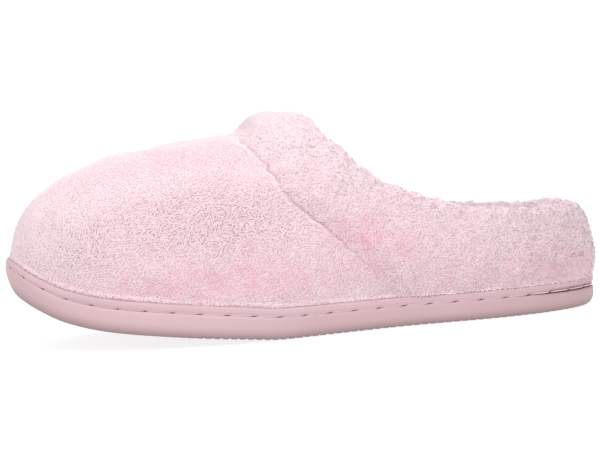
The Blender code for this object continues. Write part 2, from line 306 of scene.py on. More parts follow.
def moulded_rubber(name, pale, deep):
    """Foamed rubber from a mould: even and matt, with a faint cloudiness and a fine pebbled skin. Where a
    piece carries the underside attribute, painted shade darkens it towards a dull mauve, along the lower
    edge and towards the heel."""
    material, tree, shader = new_material(name, {"Roughness": 0.58, "IOR": 1.5})
    place = add_node(tree, "ShaderNodeTexCoord", {}).outputs["Object"]
    cloud = add_node(
        tree, "ShaderNodeTexNoise", {"Scale": 1 / 0.022, "Detail": 3.0, "Roughness": 0.55},
        {"Vector": place},
    )
    tone = add_node(
        tree, "ShaderNodeMix", {"data_type": "RGBA", 6: linear(deep), 7: linear(pale)},
        {0: cloud.outputs["Fac"]},
    )
    # Painted shade: the underside attribute mixes the rubber towards a dull dark mauve, along the lower
    # edge and towards the heel.
    under = add_node(tree, "ShaderNodeAttribute", {"attribute_name": "underside"})
    painted_shade_mix = add_node(
        tree, "ShaderNodeMix", {"data_type": "RGBA", 7: linear("#86686D")},
        {0: under.outputs["Fac"], 6: tone.outputs[2]},
    )
    tree.links.new(painted_shade_mix.outputs[2], shader.inputs["Base Color"])
    # The real pebbling is near 0.2 mm. It is drawn at 0.6 mm so that it shows.
    pebble = add_node(
        tree, "ShaderNodeTexNoise", {"Scale": 1 / 0.0006, "Detail": 2.0}, {"Vector": place}
    )
    bump = add_node(
        tree, "ShaderNodeBump", {"Strength": 0.12, "Distance": 0.0002},
        {"Height": pebble.outputs["Fac"]},
    )
    tree.links.new(bump.outputs["Normal"], shader.inputs["Normal"])
    return material


def near_toe(angles):
    """Share of the toe's rounding, which is full over the last few millimetres of the sole."""
    return soft_step((edge_point(angles)[:, 0] - TOE_FROM) / TOE_RUN)


def near_heel(angles):
    """Share of the groove's gaping at the back of the heel, where the sole pulls away from the band."""
    return soft_step((HEEL_FROM - edge_point(angles)[:, 0]) / HEEL_RUN)


def along_toe(angles):
    """Share of the groove's plainness round the toe, where the stitches are drawn less tight."""
    return soft_step((edge_point(angles)[:, 0] - SLACK_FROM) / SLACK_RUN)


def groove_opening(angles):
    """How far the lips of the groove part, how far they open inward, and how they slant where a
    stitch pulls on them: at each needle hole, more at the back of the heel, and all along the toe."""
    _, past_hole = stitch_ends(angles)
    gape = near_heel(angles)
    near_hole = np.exp(-((past_hole / HOLE_LENGTH) ** 2)) * (1 - SLACK_EASE * along_toe(angles))
    slant = -HOLE_SLANT * past_hole / HOLE_LENGTH * near_hole
    part = HOLE_PART * near_hole + HEEL_PART * gape + SLACK_PART * along_toe(angles)
    return part, HOLE_DRAW * near_hole + HEEL_DRAW * gape, slant


def make_outsole():
    angles = loop_angles(SOLE_COLUMNS)
    side = sole_side(edge_point(angles)[:, 0])
    part, deeper, slant = groove_opening(angles)
    at_toe = near_toe(angles)
    rows = []
    under = []
    for share in SIDE_SHARES:
        below = np.maximum(0, 1 - share / (FOOT_SHARE + (TOE_SHARE - FOOT_SHARE) * at_toe))
        inset = FOOT_ROUND + (TOE_ROUND - FOOT_ROUND) * at_toe
        inset *= 1 - np.sqrt(1 - below * below)
        ring = sole_ring(angles, inset, share * side)
        ring[:, 2] += ribs(ring[:, 0]) * max(0.0, 1 - share / RIB_SIDE_SHARE)
        rows.append(ring)
        # Painted shade along the lower edge, fading out up the side.
        under.append(PAINTED_EDGE_SHADE * max(0.0, 1 - share / PAINTED_EDGE_SHADE_SHARE) ** PAINTED_EDGE_SHADE_FALL)
    for inset, drop in SOLE_LIP:
        rows.append(sole_ring(angles, inset + 0.5 * part, side - drop - part + slant))
        under.append(0.0)
    rows.append(sole_ring(angles, GROOVE_DEPTH + deeper, side - 0.7 * part + slant))
    under.append(0.0)
    faces = list(ring_faces(len(rows), SOLE_COLUMNS, False))
    faces += ladder_faces(0, SOLE_COLUMNS)
    faces += ladder_faces((len(rows) - 1) * SOLE_COLUMNS, SOLE_COLUMNS)
    rubber = moulded_rubber("moulded_foam_rubber", "#B89CA0", "#B19499")
    # Painted shade over the side towards the heel, where less light falls.
    heel_shade = PAINTED_HEEL_SHADE * soft_step((PAINTED_HEEL_SHADE_RUN - edge_point(angles)[:, 0]) / PAINTED_HEEL_SHADE_RUN)
    shares = {"underside": 1 - np.outer(1 - np.array(under), 1 - heel_shade)}
    piece = solid("ribbed_outsole", np.array(rows), faces, rubber, 40, shares)
    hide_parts("outsole")


make_outsole()

# Band. A strip of the same rubber laid on the sole's rim and sewn to it. Its lower edge is the upper
# lip of the groove, and each needle hole draws it in a little.
BAND_HEIGHT = 0.0035
BAND_WIDTH = 0.0105
BAND_COLUMNS = 1680
BAND_TOE_LEAN = 0.0009
BAND_LIP = ((0.00034, 0.00003), (0.0001, 0.0004))
BAND_FACE = (
    (0.0, 0.0014),
    (0.0, 0.0026),
    (0.0001, 0.0030),
    (0.0004, 0.0034),
    (0.0008, 0.0035),
)


def make_band():
    angles = loop_angles(BAND_COLUMNS)
    base = sole_side(edge_point(angles)[:, 0]) + FIT_GAP
    part, deeper, slant = groove_opening(angles)
    lean = BAND_TOE_LEAN * near_toe(angles)
    rows = [
        sole_ring(angles, BAND_WIDTH, base),
        sole_ring(angles, GROOVE_DEPTH + deeper, base + 0.5 * part + slant),
    ]
    for inset, up in BAND_LIP:
        rows.append(sole_ring(angles, inset + 0.5 * part, base + up + 0.8 * part + slant))
    for inset, up in BAND_FACE:
        rows.append(sole_ring(angles, inset + lean * up / BAND_HEIGHT, base + up))
    rows.append(sole_ring(angles, BAND_WIDTH, base + BAND_HEIGHT))
    rubber = moulded_rubber("moulded_band_rubber", "#B79BA0", "#AF9298")
    faces = ring_faces(len(rows), BAND_COLUMNS, True)
    piece = solid("sole_band", np.array(rows), faces, rubber, 40)
    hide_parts("welt")


make_band()

# Sewing thread. Two-ply polyester, dyed to match, laid in the groove in long stitches. Each stitch
# dives into its needle hole at both ends, which leaves a dark nick between it and the next.
THREAD_RADIUS = 0.00038
THREAD_LAY = 0.0026
PLY_RELIEF = 0.16
STITCH_RINGS = 28
STITCH_SIDES = 10

# How far the thread lies in from the sole's edge, and how its ends dive into the holes.
STITCH_INSET = 0.00058
STITCH_INSET_HEEL = 0.0001
STITCH_INSET_TOE = 0.0002
STITCH_SPAN = (0.03, 0.97)
DIVE_FROM = 0.62
DIVE_DEPTH = 0.0018
DIVE_EASE_TOE = 0.65


def make_thread():
    holes, _ = stitch_ends(np.zeros(1))
    holes = np.append(holes, 2 * math.pi)
    points = []
    faces = []
    for start, end in zip(holes, holes[1:]):
        share = np.linspace(*STITCH_SPAN, STITCH_RINGS)
        angles = start + (end - start) * share
        dive = np.clip(np.abs(share - 0.5) * 2 - DIVE_FROM, 0, 1) / (1 - DIVE_FROM)
        inset = STITCH_INSET + STITCH_INSET_HEEL * near_heel(angles)
        inset += STITCH_INSET_TOE * along_toe(angles)
        inset += DIVE_DEPTH * dive**2 * (1 - DIVE_EASE_TOE * along_toe(angles))
        base = sole_side(edge_point(angles)[:, 0]) + FIT_GAP
        middle = sole_ring(angles, inset, base)
        along = unit(np.gradient(middle, axis=0))
        out = np.column_stack([edge_outward(angles), np.zeros(STITCH_RINGS)])
        up = unit(np.cross(along, out))
        out = np.cross(up, along)
        turn = loop_angles(STITCH_SIDES)[None, :]
        laid = (share * STITCH_PITCH / THREAD_LAY * 2 * math.pi)[:, None]
        radius = THREAD_RADIUS * (1 + PLY_RELIEF * np.cos(2 * (turn - laid)))
        ring = middle[:, None] + out[:, None] * (radius * np.cos(turn))[..., None]
        ring += up[:, None] * (radius * np.sin(turn))[..., None]
        first = len(points) * STITCH_RINGS * STITCH_SIDES
        points.append(ring)
        faces += (ring_faces(STITCH_RINGS, STITCH_SIDES, False) + first).tolist()
        faces.append([first + k for k in reversed(range(STITCH_SIDES))])
        faces.append([first + (STITCH_RINGS - 1) * STITCH_SIDES + k for k in range(STITCH_SIDES)])
    # Polyester filament, twisted: a smooth cord with a slight silky sheen along its two plies.
    material, _, shader = new_material(
        "twisted_polyester_thread", {"Roughness": 0.55, "Sheen Weight": 0.15}
    )
    shader.inputs["Base Color"].default_value = linear("#C0A3A9")
    piece = solid("groove_stitches", np.array(points), faces, material, 60)


make_thread()

# Footbed. A foam pad covered with terry, laid on the sole inside the band, with a rounded edge and a
# shallow cup under the heel.
FOOTBED_COLUMNS = 360
FOOTBED_STRIPS = 60
FOOTBED_PAD = 0.0055
FOOTBED_ROUND = 0.0022
HEEL_CUP = 0.0012
HEEL_CUP_BACK_RUN = 0.02
HEEL_CUP_FRONT = -0.01
HEEL_CUP_FRONT_RUN = 0.05
FOOTBED_UNEVEN = 0.00025
FOOTBED_UNEVEN_LENGTH = 0.02
WALL = 0.0025
WALL_SETBACK = 0.0008
CUFF_FOOT = 0.0022

# The footbed's pile. Length, width and height of its locks are the least and the most.
FOOTBED_LOCKS_PER_MM2 = 4.0
FOOTBED_SPACING = 0.00085
FOOTBED_LENGTH = (0.0014, 0.0022)
FOOTBED_WIDTH = (0.0008, 0.0012)
FOOTBED_HEIGHT = (0.0004, 0.0007)

# The collar and the run of the wall above each place of the outline, x from the back of the heel.
# rim is the shoulder of the collar, belly how the wall leaves the sole, crest how it arrives at the
# collar, and puff how far the cuff's padding stands above the line of the vamp.
WallPoint = namedtuple(
    "WallPoint", "rim_x rim_y rim_z belly_out belly_up crest_out crest_up puff"
)
WALL_LINES = [
    WallPoint(0.0030, 0.000, 0.0426, 0.0030, 0.013, 0.0045, -0.010, 0.0006),
    WallPoint(0.0300, 0.0285, 0.0428, 0.0040, 0.013, 0.0030, -0.012, 0.0008),
    WallPoint(0.0610, 0.0340, 0.0457, 0.0045, 0.014, 0.0040, -0.012, 0.0010),
    WallPoint(0.0930, 0.0330, 0.0548, 0.0055, 0.016, 0.0060, -0.012, 0.0016),
    WallPoint(0.1105, 0.0282, 0.0666, 0.0060, 0.024, 0.0160, -0.002, 0.0030),
    WallPoint(0.1238, 0.0207, 0.0752, 0.0060, 0.030, 0.0300, 0.004, 0.0050),
    WallPoint(0.1332, 0.0092, 0.0857, 0.0042, 0.033, 0.0835, 0.003, 0.0066),
    WallPoint(0.1350, -0.0010, 0.0870, -0.0024, 0.0275, 0.0955, 0.003, 0.0070),
    WallPoint(0.1332, -0.0110, 0.0857, 0.0042, 0.033, 0.0835, 0.003, 0.0066),
    WallPoint(0.1238, -0.0225, 0.0752, 0.0050, 0.032, 0.0320, 0.004, 0.0050),
    WallPoint(0.1105, -0.0290, 0.0666, 0.0060, 0.026, 0.0160, -0.002, 0.0030),
    WallPoint(0.0940, -0.0325, 0.0548, 0.0060, 0.018, 0.0060, -0.012, 0.0016),
    WallPoint(0.0620, -0.0335, 0.0457, 0.0045, 0.014, 0.0040, -0.012, 0.0010),
    WallPoint(0.0315, -0.0300, 0.0428, 0.0040, 0.013, 0.0030, -0.012, 0.0008),
]


def ripple(points, wavelength, seed):
    """Smooth random unevenness of about unit size, from waves that cross in all directions."""
    rng = np.random.default_rng(seed)
    waves = 30
    pitch = rng.uniform(0.7, 1.5, (waves, 1)) / wavelength
    run = unit(rng.normal(size=(waves, 3))) * pitch * 2 * math.pi
    phase = rng.uniform(0, 2 * math.pi, waves)
    return np.sin(points @ run.T + phase).sum(-1) * math.sqrt(2 / waves)


def scatter(grid, closed, per_mm2, keep, rng):
    """Roots spread evenly by area over a grid of columns by rows, with the cloth's outward and
    downward directions there. keep thins them, with a share for each point of the grid."""
    if closed:
        grid = np.concatenate([grid, grid[:1]])
        keep = np.concatenate([keep, keep[:1]])
    up = np.gradient(grid, axis=1)
    around = np.gradient(grid, axis=0)
    if closed:
        around[0] = around[-1] = grid[1] - grid[-2]
    out = np.cross(up, around)
    one = np.cross(grid[1:, 1:] - grid[:-1, :-1], grid[1:, :-1] - grid[:-1, 1:])
    area = np.linalg.norm(one, axis=-1) / 2 * keep[:-1, :-1] * 1e6
    area[1::2] = area[1::2, ::-1]
    total = np.cumsum(area.ravel())
    count = int(total[-1] * per_mm2)
    spot = (np.arange(count) + rng.uniform(size=count)) / count * total[-1]
    cell = np.minimum(np.searchsorted(total, spot), total.size - 1)
    i, j = np.divmod(cell, area.shape[1])
    j = np.where(i % 2 == 1, area.shape[1] - 1 - j, j)
    u, v = rng.uniform(size=(2, count, 1))

    def read(field):
        low = field[i, j] * (1 - u) + field[i + 1, j] * u
        return low * (1 - v) + (field[i, j + 1] * (1 - u) + field[i + 1, j + 1] * u) * v

    return read(grid), unit(read(out)), -unit(read(up))


def combed(upright, down, swing):
    """The down direction turned about the cloth's normal by an angle for each root."""
    across = np.cross(upright, down)
    return unit(down * np.cos(swing)[:, None] + across * np.sin(swing)[:, None])


def terry(name, pale, blush, deep, gap_top):
    """Cut and brushed cotton terry: matt and soft, pale at the fibre ends, with painted shade between
    them where a low pile height turns it to the deep colour. It is pinker where pile_tone is low: where
    the pile is parted, and in painted shade low on the wall. It has a faint sheen and slow clouds where
    it lies another way."""
    material, tree, shader = new_material(
        name,
        {"Roughness": 0.95, "Sheen Weight": 0.7, "Sheen Roughness": 0.4, "Specular IOR Level": 0.1},
    )
    shader.inputs["Sheen Tint"].default_value = linear("#FFF2F5")
    place = add_node(tree, "ShaderNodeTexCoord", {}).outputs["Object"]
    height = add_node(tree, "ShaderNodeAttribute", {"attribute_name": "pile_height"})
    cloud = add_node(
        tree, "ShaderNodeTexNoise", {"Scale": 1 / 0.030, "Detail": 2.0, "Roughness": 0.5},
        {"Vector": place},
    )
    drift = add_node(
        tree, "ShaderNodeMath", {"operation": "MULTIPLY_ADD", 1: 0.3, 2: 0.85},
        {0: cloud.outputs["Fac"]},
    )
    # Painted shade: a low pile height turns the colour to the deep tone between the fibre ends.
    gap_shade = add_node(
        tree, "ShaderNodeMapRange", {"interpolation_type": "SMOOTHSTEP", "From Max": gap_top},
        {"Value": height.outputs["Fac"]},
    )
    lock_tone = add_node(tree, "ShaderNodeAttribute", {"attribute_name": "pile_tone"})
    paleness = add_node(
        tree, "ShaderNodeMath", {"operation": "MULTIPLY", "use_clamp": True},
        {0: lock_tone.outputs["Fac"], 1: drift.outputs[0]},
    )
    fibres = add_node(
        tree, "ShaderNodeMix", {"data_type": "RGBA", 6: linear(blush), 7: linear(pale)},
        {0: paleness.outputs[0]},
    )
    tone = add_node(
        tree, "ShaderNodeMix", {"data_type": "RGBA", 6: linear(deep)},
        {0: gap_shade.outputs["Result"], 7: fibres.outputs[2]},
    )
    tree.links.new(tone.outputs[2], shader.inputs["Base Color"])
    return material


def spaced(roots, spacing, rng):
    """Which roots to keep so that no two stand nearer than the spacing."""
    tree = KDTree(len(roots))
    for i, root in enumerate(roots.tolist()):
        tree.insert(root, i)
    tree.balance()
    kept = np.ones(len(roots), bool)
    for i in rng.permutation(len(roots)).tolist():
        if kept[i]:
            for _, j, _ in tree.find_range(roots[i], spacing):
                if j != i:
                    kept[j] = False
    return kept


def on_top(upright):
    """How far the cloth faces up, where the brush has left the pile low and close."""
    return soft_step((upright[:, 2] - 0.45) / 0.45)


# How far a lock takes the light as the cloth under it does, how deep its foot is set in that cloth, where
# along its length it is rooted, how far it bends aside, and the pile height that the material reads at
# its five points, where low values are painted shade.
LOCK_SOFTNESS = 0.35
LOCK_FOOT = 0.00015
LOCK_ROOT = 0.45
LOCK_CURL = 0.25
LOCK_LEVELS = (0.2, 0.0, 1.0, 0.0, 0.6)


def locks(name, roots, upright, lean, length, width, height, tone, bed, facing, rng, material):
    """Locks of brushed pile, joined in one mesh: each is a small tent that lies along the cloth,
    bends to one side and narrows to a tip, which stands up on some of them. facing is the cloth's own
    normal, which the locks' normals lean towards. Real tufts are taken to be 0.3 to 0.5 mm wide, and
    are drawn about twice as wide so that they show."""
    across = np.cross(upright, lean)
    curl = rng.normal(0, LOCK_CURL, len(roots))
    raised = 0.1 + 0.6 * rng.uniform(0, 1, len(roots)) ** 2 * (1 - 0.8 * on_top(facing))

    def spine(along, aside, up):
        bend = curl * along * along * length + aside * width
        rise = up * height - LOCK_FOOT
        return (
            roots
            + lean * ((along - LOCK_ROOT) * length)[:, None]
            + across * bend[:, None]
            + upright * rise[:, None]
        )

    points = np.stack(
        [
            spine(0.0, 0.0, 0.0),
            spine(0.4, 0.5, 0.0),
            spine(0.5, 0.0, 1.0),
            spine(0.4, -0.5, 0.0),
            spine(1.0, 0.0, raised),
        ],
        1,
    )
    faces = np.arange(len(roots))[:, None, None] * 5
    faces = faces + np.array([[0, 2, 1], [0, 3, 2], [1, 2, 4], [2, 3, 4]])
    mesh = bpy.data.meshes.new(name)
    mesh.from_pydata(points.reshape(-1, 3).tolist(), [], faces.reshape(-1, 3).tolist())
    mesh.shade_smooth()
    # Normals lean towards the cloth's own, so that a lock takes the light as a tuft of soft fibres.
    facets = np.zeros((len(mesh.vertices), 3), np.float32)
    mesh.vertex_normals.foreach_get("vector", facets.ravel())
    soft = np.repeat(facing, 5, axis=0) * LOCK_SOFTNESS + facets * (1 - LOCK_SOFTNESS)
    mesh.normals_split_custom_set_from_vertices(unit(soft).tolist())
    # The pile height that the material reads: its low values, at the feet of the lock's sides, are
    # painted shade, and none falls below the bed.
    levels = np.maximum(np.array(LOCK_LEVELS)[None, :], bed[:, None])
    for label, values in (("pile_height", levels), ("pile_tone", np.repeat(tone, 5))):
        layer = mesh.attributes.new(label, "FLOAT", "POINT")
        layer.data.foreach_set("value", values.ravel().astype(np.float32))
    mesh.materials.append(material)
    piece = bpy.data.objects.new(name, mesh)
    bpy.context.scene.collection.objects.link(piece)
    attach(piece, "root")
    return piece


# The deep colour is painted shade between the locks; blush is the pinker tone of pressed pile.
terry_cloth = terry("brushed_cotton_terry", "#DDCBD0", "#D7ADB9", "#AA8590", 0.22)


def make_footbed():
    angles = loop_angles(FOOTBED_COLUMNS)
    side = sole_side(edge_point(angles)[:, 0])
    clear = WALL_SETBACK + CUFF_FOOT + WALL + 4 * FIT_GAP
    shelf = side + BAND_HEIGHT + 3 * FIT_GAP
    plug = BAND_WIDTH + 2 * FIT_GAP
    rows = [
        sole_ring(angles, plug, side + FIT_GAP),
        sole_ring(angles, plug, shelf),
        sole_ring(angles, clear, shelf),
    ]
    for turn in np.linspace(0, math.pi / 2, 7):
        inset = clear + FOOTBED_ROUND * (1 - math.cos(turn))
        rows.append(
            sole_ring(angles, inset, shelf + FOOTBED_PAD - FOOTBED_ROUND * (1 - math.sin(turn)))
        )
    rim = rows[-1]
    half = FOOTBED_COLUMNS // 2
    outer, inner = rim[1:half], rim[:half:-1]
    across = np.linspace(0, 1, FOOTBED_STRIPS + 1)[1:-1]
    top = outer[:, None] * (1 - across)[None, :, None] + inner[:, None] * across[None, :, None]
    cup = HEEL_CUP * soft_step((top[..., 0] + SOLE_LENGTH / 2) / HEEL_CUP_BACK_RUN)
    cup *= soft_step((HEEL_CUP_FRONT - top[..., 0]) / HEEL_CUP_FRONT_RUN)
    top[..., 2] -= cup * np.sin(math.pi * across)[None, :]
    top[..., 2] += FOOTBED_UNEVEN * ripple(top, FOOTBED_UNEVEN_LENGTH, 5)
    base = len(rows) * FOOTBED_COLUMNS
    faces = list(ring_faces(len(rows), FOOTBED_COLUMNS, False)) + ladder_faces(0, FOOTBED_COLUMNS)
    last = (len(rows) - 1) * FOOTBED_COLUMNS
    strips = len(across)
    for i in range(half - 1):
        line = [last + i + 1] + [base + i * strips + k for k in range(strips)]
        line.append(last + FOOTBED_COLUMNS - i - 1)
        if i == 0:
            ahead = [last] * len(line)
        else:
            ahead = before
        for k in range(len(line) - 1):
            faces.append(list(dict.fromkeys([ahead[k], line[k], line[k + 1], ahead[k + 1]])))
        before = line
    for k in range(len(before) - 1):
        faces.append([before[k], last + half, before[k + 1]])
    points = np.concatenate([np.reshape(rows, (-1, 3)), top.reshape(-1, 3)])
    shares = {"pile_height": np.full(len(points), 0.10), "pile_tone": np.ones(len(points))}
    piece = solid("footbed", points, faces, terry_cloth, 60, shares)
    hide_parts("insole")

    rng = np.random.default_rng(11)
    roots, upright, down = scatter(top, False, FOOTBED_LOCKS_PER_MM2, np.ones(top.shape[:2]), rng)
    upright *= np.where(upright[:, 2:] < 0, -1.0, 1.0)
    kept = spaced(roots, FOOTBED_SPACING, rng)
    roots, upright, down = roots[kept], upright[kept], down[kept]
    count = len(roots)
    swing = 1.2 * ripple(roots, 0.014, 12) + rng.normal(0, 0.5, count)
    pile = locks(
        "footbed_pile", roots, upright, combed(upright, down, swing),
        rng.uniform(*FOOTBED_LENGTH, count), rng.uniform(*FOOTBED_WIDTH, count),
        rng.uniform(*FOOTBED_HEIGHT, count), np.clip(rng.normal(0.85, 0.12, count), 0.3, 1.0),
        np.full(count, 0.13), upright, rng, terry_cloth,
    )


make_footbed()

# Upper. Vamp and quarters in one wall of terry over a thin foam lining, lasted over the foot's form
# and open at the collar and underneath. Behind the slanting seam it is stepped in under the cuff.
WALL_COLUMNS = 480
PILE_DEPTH = 0.0007
HEM_SHARE = 0.03
TOE_TUCK = 0.0011
LINING_FRONT = 0.060
CUFF_PADDING = 0.0036
HEM_DROP = 1.7 * FIT_GAP
SLOW_UNEVEN = 0.00018
SLOW_UNEVEN_LENGTH = 0.022

# The seam: how the cuff's step dips under it and runs out, how wide and deep its stitches draw the
# cloth in, and the heights between which it comes into sight and is lost again.
SEAM_DIP = 0.0018
SEAM_DIP_FROM = 0.024
SEAM_DIP_RUN = 0.026
SEAM_RUN = 0.012
SEAM_CREASE = 0.0006
SEAM_PULL = 0.0006
SEAM_SHOWS_FROM = 0.018
SEAM_SHOWS_RUN = 0.020
SEAM_LOST_FROM = 0.076
SEAM_LOST_RUN = 0.008

# The pile of the vamp. Locks stand further apart along the lie than across it, by the stroke. Lengths
# and widths are the least and the most. Where it is ruffled the pile stands higher.
STROKE = 1.7
PILE_LIE = unit(np.array([0.90, 0.0, -0.43]))
FACES_ALONG_LIE = 0.6
LOCKS_PER_MM2 = 11.0
VAMP_SPACING = 0.00042
VAMP_LENGTH = (0.0013, 0.0022)
VAMP_WIDTH = (0.00058, 0.00082)
VAMP_HEIGHT = 0.00050
VAMP_HEIGHT_SPREAD = 0.00006
RUFFLE_HEIGHT = 0.00035
RUFFLE_LEAST = 0.35
MATTED_LEVEL = 0.12
PRESSED = 0.6
VAMP_LOOSE = 0.06
VAMP_WISP = 0.0013

# The lining's pile and the fringe over the band.
LINING_PER_MM2 = 2.6
LINING_SPACING = 0.00095
LINING_LENGTH = (0.0014, 0.0022)
LINING_WIDTH = (0.0008, 0.0012)
LINING_HEIGHT = (0.0004, 0.0006)
FRINGE_LOCKS = 1500
FRINGE_LENGTH = (0.0012, 0.0027)
FRINGE_WIDTH = (0.0005, 0.0008)
FRINGE_HEIGHT = (0.0003, 0.0006)
FRINGE_SPLAY = (0.2, 1.1)

# Soft troughs pressed into the cloth, and low ridges where the depth is negative, as lines of the side
# view. x is from the back of the heel and side 1 is the outer side.
Crease = namedtuple("Crease", "name side x1 z1 x2 z2 width depth")
CREASES = [
    Crease("collar_dent", 1, 0.125, 0.079, 0.117, 0.071, 0.0060, 0.0004),
    Crease("instep_dent", 1, 0.121, 0.052, 0.111, 0.045, 0.0070, 0.0004),
    Crease("heel_pull", 1, 0.0555, 0.0205, 0.030, 0.0400, 0.0045, 0.0006),
    Crease("heel_fold", 1, 0.0460, 0.0215, 0.023, 0.0390, 0.0050, -0.0004),
    Crease("toe_dent", 1, 0.214, 0.055, 0.198, 0.058, 0.0090, 0.0005),
    Crease("vamp_dent", 1, 0.164, 0.046, 0.155, 0.054, 0.0080, 0.0003),
    Crease("vamp_ridge", 1, 0.196, 0.084, 0.161, 0.087, 0.0090, 0.0009),
    Crease("vamp_fall", 1, 0.216, 0.079, 0.196, 0.084, 0.0110, 0.0004),
    Crease("inner_vamp_fall", -1, 0.216, 0.079, 0.196, 0.084, 0.0110, 0.0004),
    Crease("inner_vamp_ridge", -1, 0.196, 0.084, 0.161, 0.087, 0.0090, 0.0009),
    Crease("inner_instep_dent", -1, 0.124, 0.055, 0.113, 0.046, 0.0065, 0.0008),
    Crease("inner_heel_pull", -1, 0.0600, 0.0215, 0.036, 0.0400, 0.0050, 0.0007),
    Crease("inner_vamp_dent", -1, 0.172, 0.046, 0.162, 0.052, 0.0080, 0.0005),
]

# Patches where handling has parted the pile, as seen from the side. The long bands low on the wall,
# quarter_low, heel_low, vamp_low and inner_heel_low, are painted shade instead: they make the cloth
# pinker and darker low down, where less light falls, and press its pile lower there.
Parting = namedtuple("Parting", "name side x z long high share")
PARTINGS = [
    Parting("behind_seam", 1, 0.115, 0.040, 0.014, 0.010, 0.85),
    Parting("along_seam", 1, 0.123, 0.046, 0.009, 0.007, 0.65),
    Parting("seam_foot", 1, 0.108, 0.028, 0.009, 0.009, 0.55),
    Parting("under_collar", 1, 0.098, 0.036, 0.012, 0.008, 0.55),
    Parting("throat", 1, 0.133, 0.066, 0.006, 0.005, 0.25),
    Parting("quarter_low", 1, 0.075, 0.019, 0.040, 0.009, 0.3),
    Parting("heel_low", 1, 0.022, 0.020, 0.040, 0.008, 0.5),
    Parting("heel_spot", 1, 0.0496, 0.0217, 0.004, 0.003, 0.6),
    Parting("vamp_side", 1, 0.166, 0.040, 0.012, 0.007, 0.25),
    Parting("toe_side", 1, 0.207, 0.036, 0.016, 0.006, 0.25),
    Parting("vamp_low", 1, 0.172, 0.026, 0.072, 0.010, 0.55),
    Parting("vamp_rear", 1, 0.153, 0.036, 0.016, 0.010, 0.25),
    Parting("inner_behind_seam", -1, 0.117, 0.044, 0.012, 0.008, 0.45),
    Parting("inner_heel_low", -1, 0.030, 0.020, 0.050, 0.010, 0.4),
    Parting("inner_vamp", -1, 0.180, 0.042, 0.014, 0.007, 0.35),
]

# Patches where the pile stands up ruffled, with open gaps between its locks.
Ruffle = namedtuple("Ruffle", "name side x z long high share")
RUFFLES = [
    Ruffle("vamp_flank", 1, 0.178, 0.052, 0.050, 0.018, 1.0),
    Ruffle("toe_cap", 1, 0.236, 0.046, 0.030, 0.018, 0.75),
    Ruffle("cuff_face", 1, 0.125, 0.064, 0.030, 0.018, 0.4),
    Ruffle("heel_side", 1, 0.030, 0.030, 0.050, 0.014, 0.6),
    Ruffle("inner_vamp_flank", -1, 0.178, 0.050, 0.050, 0.018, 1.0),
    Ruffle("inner_cuff_face", -1, 0.125, 0.064, 0.030, 0.018, 0.65),
    Ruffle("inner_heel_side", -1, 0.030, 0.030, 0.050, 0.014, 0.65),
]

# The seam between vamp and cuff as it shows from the side, x from the back of the heel.
SeamPoint = namedtuple("SeamPoint", "x z")
SEAM_LINE = [
    SeamPoint(0.094, 0.0052),
    SeamPoint(0.127, 0.0419),
    SeamPoint(0.146, 0.0602),
    SeamPoint(0.1535, 0.0752),
    SeamPoint(0.160, 0.0852),
    SeamPoint(0.163, 0.0972),
]


def form_lines(angles, shares):
    """The outside of the terry: one Bezier line per column, from the band up to the collar."""
    edge, out = edge_point(angles), edge_outward(angles)
    lines = on_loop(WALL_LINES, angles)
    rim = lines[:, :3] - [SOLE_LENGTH / 2, 0, 0]
    foot = edge - out * (WALL_SETBACK + TOE_TUCK * near_toe(angles))[:, None]
    base = sole_lift(foot[:, 0]) + sole_side(edge[:, 0]) + BAND_HEIGHT + 2 * FIT_GAP
    toward = unit(foot - rim[:, :2])
    lower = np.column_stack([foot, base])
    pull_out = np.column_stack([foot + out * lines[:, 3:4], base + lines[:, 4]])
    pull_in = np.column_stack([rim[:, :2] + toward * lines[:, 5:6], rim[:, 2] + lines[:, 6]])
    t = np.asarray(shares)[..., None]
    line = (1 - t) ** 3 * lower[:, None] + 3 * t * (1 - t) ** 2 * pull_out[:, None]
    return line + 3 * t**2 * (1 - t) * pull_in[:, None] + t**3 * rim[:, None]


def form_directions(angles, shares):
    """Outward normals of the form, and the direction that climbs it, at each of its points."""
    small = 1e-3
    shares = np.clip(shares, small, 1 - small)
    climb = unit(form_lines(angles, shares + small) - form_lines(angles, shares - small))
    around = form_lines(angles + small, shares) - form_lines(angles - small, shares)
    return unit(np.cross(climb, around)), climb


def behind_seam(points):
    """Level distance behind the seam, negative on the vamp."""
    height = points[..., 2]
    seam = eased([(p.z, p.x - SOLE_LENGTH / 2) for p in SEAM_LINE], height)
    wander = 0.00035 * np.sin(height / 0.0011) + 0.00025 * np.sin(height / 0.0007)
    return seam + wander - points[..., 0]


def seam_shares(angles):
    """Where each column's line crosses the seam: 0 where the whole column lies behind it."""
    steps = np.linspace(0, 1, 2001)
    behind = behind_seam(form_lines(angles, np.tile(steps, (len(angles), 1)))) > 0
    return np.where(behind[:, 0], 0.0, steps[np.argmax(behind, axis=1)])


def cuff_depth(points, shares):
    """Depth under the form at which the padded cuff's inner face lies."""
    full = CUFF_FOOT + (CUFF_PADDING - CUFF_FOOT) * soft_step(shares / 0.5)
    dip = SEAM_DIP * soft_step((points[..., 2] - SEAM_DIP_FROM) / SEAM_DIP_RUN)
    return full * soft_step((behind_seam(points) + dip) / SEAM_RUN)


def creased(points, lines):
    """Depth of the listed troughs, each a soft groove along a line of the side view."""
    depth = np.zeros(points.shape[:-1])
    for crease in lines:
        start = np.array([crease.x1 - SOLE_LENGTH / 2, crease.z1])
        run = np.array([crease.x2 - SOLE_LENGTH / 2, crease.z2]) - start
        off = points[..., ::2] - start
        share = np.clip(off @ run / (run @ run), 0, 1)
        away = np.linalg.norm(off - share[..., None] * run, axis=-1)
        there = soft_step(0.5 + crease.side * points[..., 1] / 0.012)
        depth += crease.depth * there * np.exp(-((away / crease.width) ** 2))
    return depth


